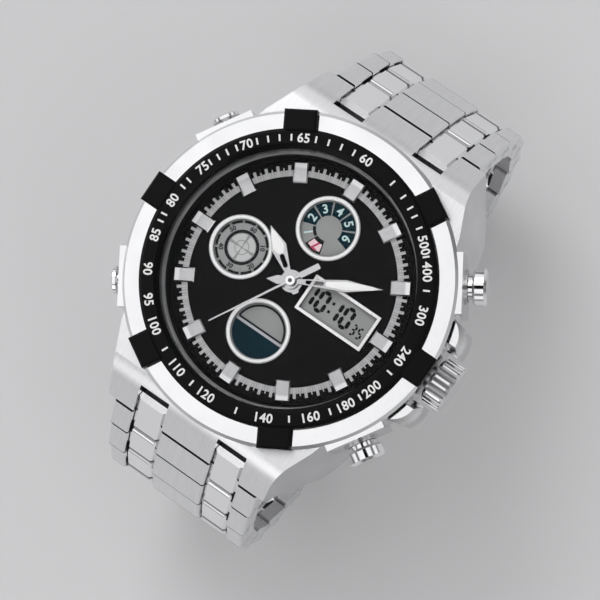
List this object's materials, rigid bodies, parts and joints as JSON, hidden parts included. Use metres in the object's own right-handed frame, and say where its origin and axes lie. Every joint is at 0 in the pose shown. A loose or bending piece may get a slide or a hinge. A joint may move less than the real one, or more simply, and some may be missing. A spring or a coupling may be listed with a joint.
{
  "type": "analogue digital wristwatch",
  "caption": "Round steel wristwatch with hands, digital displays, a black bezel, a crown and side pushers, on a linked bracelet with a folding clasp.",
  "frame": {"origin": "centre of the flat outer face of the case back, on the axis of the hands", "axes": "+Z out of the dial, +Y towards 12 o'clock, +X towards 3 o'clock and the crown"},
  "size_m": [0.0514, 0.0734, 0.0526],
  "materials": {
    "case_steel": "brushed with polished ring and flanks",
    "bezel_black": "gloss black with white scale",
    "crystal_glass": "clear polished",
    "gasket_black": "matte",
    "flange_black": "satin black",
    "dial_black": "satin black",
    "marker_steel": "brushed silver",
    "trim_steel": "polished",
    "time_panel": "grey display panel",
    "round_panel": "grey and teal display panels",
    "hand_steel": "polished with white fill",
    "wheel_brass": "satin",
    "magnet_grey": "dull grey",
    "works_plastic": "matte",
    "board_green": "satin lacquer",
    "works_steel": "satin",
    "coil_copper": "enamelled winding",
    "cell_steel": "bright nickel",
    "back_steel": "circular brushed",
    "crown_steel": "polished, fluted",
    "pusher_steel": "polished",
    "band_steel": "brushed blocks with polished ears",
    "clasp_steel": "brushed cover, satin blades"
  },
  "bodies": {
    "case": {"case_middle": "case_steel", "bezel_ring": "bezel_black", "crystal": "crystal_glass", "crystal_gasket": "gasket_black", "rehaut_ring": "flange_black", "dial": "dial_black", "hour_markers": "marker_steel", "subdial_rings": "trim_steel", "lcd_frame": "trim_steel", "time_display": "time_panel", "round_displays": "round_panel", "module_plate": "works_plastic", "circuit_board": "board_green", "works_screws": "works_steel", "module_holder_ring": "works_plastic", "stator": "works_steel", "coil": "coil_copper", "battery": "cell_steel", "battery_clamp": "works_steel", "buzzer_disc": "wheel_brass", "case_back": "back_steel", "case_back_gasket": "gasket_black", "case_back_screws": "works_steel", "crown_tube": "works_steel", "pusher_tubes": "works_steel", "lug_spring_bars": "works_steel"},
    "seconds": {"seconds_hand": "hand_steel", "seconds_wheel": "wheel_brass"},
    "minutes": {"minute_hand": "hand_steel", "centre_wheel": "wheel_brass"},
    "hours": {"hour_hand": "hand_steel", "hour_wheel": "wheel_brass"},
    "third": {"third_wheel": "wheel_brass"},
    "motor_rotor": {"rotor": "magnet_grey"},
    "stem_slide": {"stem_clip": "works_steel"},
    "crown_knob": {"crown": "crown_steel", "crown_stem": "works_steel"},
    "button_2": {"pusher_2": "pusher_steel"},
    "button_4": {"pusher_4": "pusher_steel"},
    "button_8": {"pusher_8": "pusher_steel"},
    "button_10": {"pusher_10": "pusher_steel"},
    "band_12_1": {"link_12_1": "band_steel"},
    "band_12_2": {"link_12_2": "band_steel"},
    "band_12_3": {"link_12_3": "band_steel"},
    "band_12_4": {"link_12_4": "band_steel"},
    "band_12_5": {"link_12_5": "band_steel"},
    "band_12_6": {"link_12_6": "band_steel"},
    "band_12_7": {"link_12_7": "band_steel"},
    "band_12_8": {"link_12_8": "band_steel"},
    "band_6_1": {"link_6_1": "band_steel"},
    "band_6_2": {"link_6_2": "band_steel"},
    "band_6_3": {"link_6_3": "band_steel"},
    "band_6_4": {"link_6_4": "band_steel"},
    "band_6_5": {"link_6_5": "band_steel"},
    "band_6_6": {"link_6_6": "band_steel"},
    "band_6_7": {"link_6_7": "band_steel"},
    "band_6_8": {"link_6_8": "band_steel"},
    "cover": {"clasp_cover": "clasp_steel"},
    "long_blade": {"clasp_long_blade": "clasp_steel"},
    "short_blade": {"clasp_short_blade": "clasp_steel"}
  },
  "joints": [
    {"name": "seconds_turn", "type": "hinge", "parent": "case", "child": "seconds", "pos_m": [0, 0, 0.009], "axis": [0, 0, -1], "continuous": true},
    {"name": "minutes_turn", "type": "hinge", "parent": "case", "child": "minutes", "pos_m": [0, 0, 0.009], "axis": [0, 0, -1], "continuous": true},
    {"name": "hours_turn", "type": "hinge", "parent": "case", "child": "hours", "pos_m": [0, 0, 0.009], "axis": [0, 0, -1], "continuous": true},
    {"name": "third_turn", "type": "hinge", "parent": "case", "child": "third", "pos_m": [-0.0027, -0.00189, 0.009], "axis": [0, 0, -1], "continuous": true},
    {"name": "rotor_turn", "type": "hinge", "parent": "case", "child": "motor_rotor", "pos_m": [-0.00251, 0.00251, 0.009], "axis": [0, 0, -1], "continuous": true},
    {"name": "crown_pull", "type": "slide", "parent": "case", "child": "stem_slide", "axis": [1, 0, 0], "range_m": [0, 0.0012]},
    {"name": "crown_turn", "type": "hinge", "parent": "stem_slide", "child": "crown_knob", "pos_m": [0.025, 0, 0.0062], "axis": [1, 0, 0], "continuous": true},
    {"name": "push_2", "type": "slide", "parent": "case", "child": "button_2", "axis": [-0.8434, -0.5373, 0], "range_m": [0, 0.0006], "stiffness_N_per_m": 1200, "springref_m": -0.0006},
    {"name": "push_4", "type": "slide", "parent": "case", "child": "button_4", "axis": [-0.8434, 0.5373, 0], "range_m": [0, 0.0006], "stiffness_N_per_m": 1200, "springref_m": -0.0006},
    {"name": "push_8", "type": "slide", "parent": "case", "child": "button_8", "axis": [0.8434, 0.5373, 0], "range_m": [0, 0.0006], "stiffness_N_per_m": 1200, "springref_m": -0.0006},
    {"name": "push_10", "type": "slide", "parent": "case", "child": "button_10", "axis": [0.8434, -0.5373, 0], "range_m": [0, 0.0006], "stiffness_N_per_m": 1200, "springref_m": -0.0006},
    {"name": "band_12_hinge_1", "type": "hinge", "parent": "case", "child": "band_12_1", "pos_m": [0, 0.02596, 0.00515], "axis": [1, 0, 0], "range_deg": [0, 3.6]},
    {"name": "band_12_hinge_2", "type": "hinge", "parent": "band_12_1", "child": "band_12_2", "pos_m": [0, 0.02946, 0.00015], "axis": [1, 0, 0], "range_deg": [0, 1.3]},
    {"name": "band_12_hinge_3", "type": "hinge", "parent": "band_12_2", "child": "band_12_3", "pos_m": [0, 0.03251, -0.00513], "axis": [1, 0, 0], "range_deg": [0, 1.3]},
    {"name": "band_12_hinge_4", "type": "hinge", "parent": "band_12_3", "child": "band_12_4", "pos_m": [0, 0.0346, -0.01086], "axis": [1, 0, 0], "range_deg": [0, 1.3]},
    {"name": "band_12_hinge_5", "type": "hinge", "parent": "band_12_4", "child": "band_12_5", "pos_m": [0, 0.03502, -0.01695], "axis": [1, 0, 0], "range_deg": [0, 1.3]},
    {"name": "band_12_hinge_6", "type": "hinge", "parent": "band_12_5", "child": "band_12_6", "pos_m": [0, 0.03365, -0.02289], "axis": [1, 0, 0], "range_deg": [0, 1.3]},
    {"name": "band_12_hinge_7", "type": "hinge", "parent": "band_12_6", "child": "band_12_7", "pos_m": [0, 0.0306, -0.02817], "axis": [1, 0, 0], "range_deg": [0, 1.3]},
    {"name": "band_12_hinge_8", "type": "hinge", "parent": "band_12_7", "child": "band_12_8", "pos_m": [0, 0.02614, -0.03233], "axis": [1, 0, 0], "range_deg": [0, 1.3]},
    {"name": "band_6_hinge_1", "type": "hinge", "parent": "case", "child": "band_6_1", "pos_m": [0, -0.02596, 0.00515], "axis": [-1, 0, 0], "range_deg": [0, 3.6]},
    {"name": "band_6_hinge_2", "type": "hinge", "parent": "band_6_1", "child": "band_6_2", "pos_m": [0, -0.02946, 0.00015], "axis": [-1, 0, 0], "range_deg": [0, 1.3]},
    {"name": "band_6_hinge_3", "type": "hinge", "parent": "band_6_2", "child": "band_6_3", "pos_m": [0, -0.03251, -0.00513], "axis": [-1, 0, 0], "range_deg": [0, 1.3]},
    {"name": "band_6_hinge_4", "type": "hinge", "parent": "band_6_3", "child": "band_6_4", "pos_m": [0, -0.0346, -0.01086], "axis": [-1, 0, 0], "range_deg": [0, 1.3]},
    {"name": "band_6_hinge_5", "type": "hinge", "parent": "band_6_4", "child": "band_6_5", "pos_m": [0, -0.03502, -0.01695], "axis": [-1, 0, 0], "range_deg": [0, 1.3]},
    {"name": "band_6_hinge_6", "type": "hinge", "parent": "band_6_5", "child": "band_6_6", "pos_m": [0, -0.03365, -0.02289], "axis": [-1, 0, 0], "range_deg": [0, 1.3]},
    {"name": "band_6_hinge_7", "type": "hinge", "parent": "band_6_6", "child": "band_6_7", "pos_m": [0, -0.0306, -0.02817], "axis": [-1, 0, 0], "range_deg": [0, 1.3]},
    {"name": "band_6_hinge_8", "type": "hinge", "parent": "band_6_7", "child": "band_6_8", "pos_m": [0, -0.02614, -0.03233], "axis": [-1, 0, 0], "range_deg": [0, 1.3]},
    {"name": "clasp_cover_hinge", "type": "hinge", "parent": "band_12_8", "child": "cover", "pos_m": [0, 0.02065, -0.03501], "axis": [1, 0, 0], "range_deg": [-17, 0]},
    {"name": "clasp_unfold", "type": "hinge", "parent": "cover", "child": "long_blade", "pos_m": [0, -0.01725, -0.03676], "axis": [1, 0, 0], "range_deg": [0, 80]},
    {"name": "clasp_blade_fold", "type": "hinge", "parent": "long_blade", "child": "short_blade", "pos_m": [0, 0.01505, -0.03619], "axis": [1, 0, 0], "range_deg": [-22, 0]}
  ],
  "couplings": [
    {"joint": "minutes_turn", "follows": "seconds_turn", "ratio": 0.016667},
    {"joint": "hours_turn", "follows": "seconds_turn", "ratio": 0.0013889},
    {"joint": "third_turn", "follows": "seconds_turn", "ratio": -0.125},
    {"joint": "rotor_turn", "follows": "seconds_turn", "ratio": -30},
    {"joint": "band_12_hinge_2", "follows": "band_12_hinge_1", "ratio": 0.36111},
    {"joint": "band_12_hinge_3", "follows": "band_12_hinge_1", "ratio": 0.36111},
    {"joint": "band_12_hinge_4", "follows": "band_12_hinge_1", "ratio": 0.36111},
    {"joint": "band_12_hinge_5", "follows": "band_12_hinge_1", "ratio": 0.36111},
    {"joint": "band_12_hinge_6", "follows": "band_12_hinge_1", "ratio": 0.36111},
    {"joint": "band_12_hinge_7", "follows": "band_12_hinge_1", "ratio": 0.36111},
    {"joint": "band_12_hinge_8", "follows": "band_12_hinge_1", "ratio": 0.36111},
    {"joint": "band_6_hinge_1", "follows": "band_12_hinge_1", "ratio": 1},
    {"joint": "band_6_hinge_2", "follows": "band_12_hinge_1", "ratio": 0.36111},
    {"joint": "band_6_hinge_3", "follows": "band_12_hinge_1", "ratio": 0.36111},
    {"joint": "band_6_hinge_4", "follows": "band_12_hinge_1", "ratio": 0.36111},
    {"joint": "band_6_hinge_5", "follows": "band_12_hinge_1", "ratio": 0.36111},
    {"joint": "band_6_hinge_6", "follows": "band_12_hinge_1", "ratio": 0.36111},
    {"joint": "band_6_hinge_7", "follows": "band_12_hinge_1", "ratio": 0.36111},
    {"joint": "band_6_hinge_8", "follows": "band_12_hinge_1", "ratio": 0.36111},
    {"joint": "clasp_cover_hinge", "follows": "band_12_hinge_1", "ratio": -4.7222},
    {"joint": "clasp_unfold", "follows": "band_12_hinge_1", "ratio": 22.222},
    {"joint": "clasp_blade_fold", "follows": "band_12_hinge_1", "ratio": -6.1111}
  ]
}
